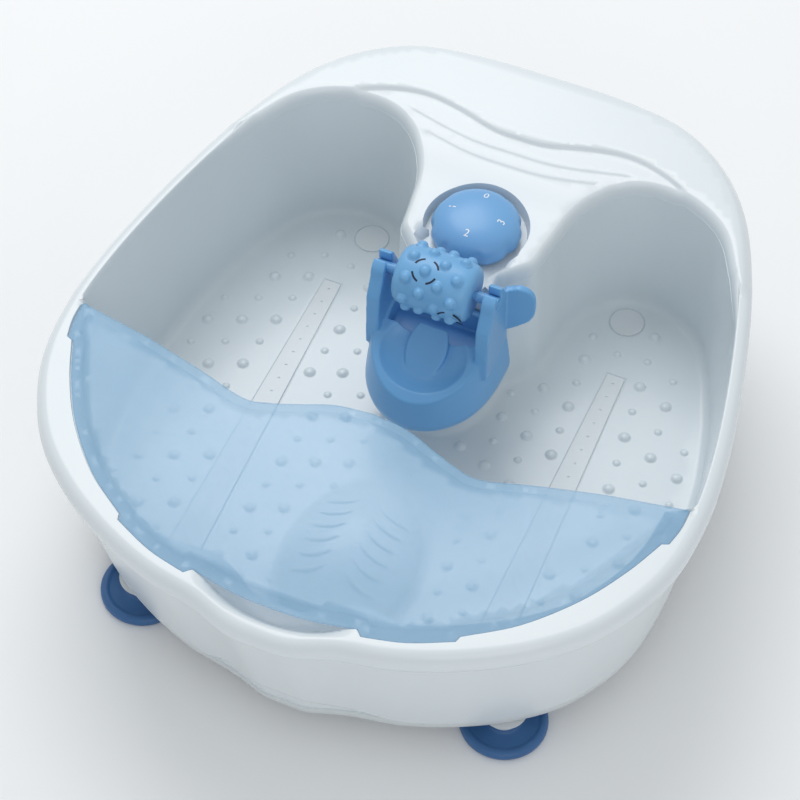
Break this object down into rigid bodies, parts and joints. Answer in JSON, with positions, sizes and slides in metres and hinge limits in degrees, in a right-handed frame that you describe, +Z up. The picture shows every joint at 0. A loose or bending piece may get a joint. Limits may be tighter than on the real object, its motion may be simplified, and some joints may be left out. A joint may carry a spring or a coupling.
{
  "type": "foot spa basin",
  "caption": "Two-well foot spa basin with pouring spout, clear blue splash guard, mode dial, lift-off cradle with nubbed massage roller, bubble strips and rubber feet.",
  "frame": {"origin": "under the middle of the basin, at the level of the soles of its feet", "axes": "+Z up, -Y towards the pouring spout, +X to the right of someone who looks at the basin from the spout end"},
  "size_m": [0.364, 0.408, 0.1576],
  "materials": {
    "white_shell": "satin",
    "white_base": "satin",
    "white_trim": "satin",
    "guard_clear_blue": "gloss",
    "blue_plastic": "satin",
    "blue_roller": "satin",
    "blue_knob": "satin",
    "navy_rubber": "satin",
    "black_rubber": "matte",
    "dark_plastic": "matte",
    "zinc_steel": "satin",
    "heater_foil": "satin",
    "brass_weight": "satin",
    "copper_coil": "gloss",
    "dark_magnet": "matte",
    "clear_tube": "gloss"
  },
  "bodies": {
    "basin": {"tub": "white_shell", "base_cover": "white_base", "bubble_strip_left": "white_trim", "bubble_strip_right": "white_trim", "heel_disc_left": "white_trim", "heel_disc_right": "white_trim", "rotary_switch": "dark_plastic", "switch_nut": "zinc_steel", "knob_seal": "black_rubber", "foot_front_left": "navy_rubber", "foot_front_right": "navy_rubber", "foot_rear_left": "navy_rubber", "foot_rear_right": "navy_rubber", "foot_screws": "zinc_steel", "base_screws": "zinc_steel", "heater_plate": "heater_foil", "heater_clamps": "zinc_steel", "thermostat": "dark_plastic", "thermal_fuse": "zinc_steel", "vibration_motor": "zinc_steel", "motor_sleeve": "black_rubber", "motor_bracket": "white_trim", "motor_strap": "zinc_steel", "pump_frame": "dark_plastic", "pump_coil": "copper_coil", "pump_diaphragm": "black_rubber", "pump_lid": "white_trim", "air_manifold": "clear_tube", "air_duct_left": "white_trim", "air_duct_right": "white_trim", "check_valve": "blue_plastic", "terminal_block": "dark_plastic", "inlet_gland": "black_rubber"},
    "knob": {"control_knob": "blue_knob", "knob_shaft": "zinc_steel"},
    "guard": {"splash_guard": "guard_clear_blue"},
    "cradle": {"roller_cradle": "blue_plastic"},
    "roller": {"roller_sleeve": "blue_roller", "roller_axle": "blue_plastic"},
    "rotor": {"motor_shaft": "zinc_steel", "eccentric_weight": "brass_weight"},
    "pump_lever": {"pump_arm": "zinc_steel", "pump_magnet": "dark_magnet"}
  },
  "joints": [
    {"name": "knob_turn", "type": "hinge", "parent": "basin", "child": "knob", "pos_m": [0, 0.086, 0.125], "axis": [0, 0, 1], "range_deg": [-270, 0]},
    {"name": "guard_lift", "type": "slide", "parent": "basin", "child": "guard", "axis": [0, 0, 1], "range_m": [0, 0.12]},
    {"name": "cradle_lift", "type": "slide", "parent": "basin", "child": "cradle", "axis": [0, 0, 1], "range_m": [0, 0.1]},
    {"name": "roller_spin", "type": "hinge", "parent": "cradle", "child": "roller", "pos_m": [0, 0.03, 0.138], "axis": [1, 0, 0], "continuous": true},
    {"name": "rotor_spin", "type": "hinge", "parent": "basin", "child": "rotor", "pos_m": [0.01, 0.1, 0.042], "axis": [1, 0, 0], "continuous": true},
    {"name": "pump_rock", "type": "hinge", "parent": "basin", "child": "pump_lever", "pos_m": [-0.022, 0.162, 0.0406], "axis": [0, 1, 0], "range_deg": [-1.5, 1.5]}
  ]
}
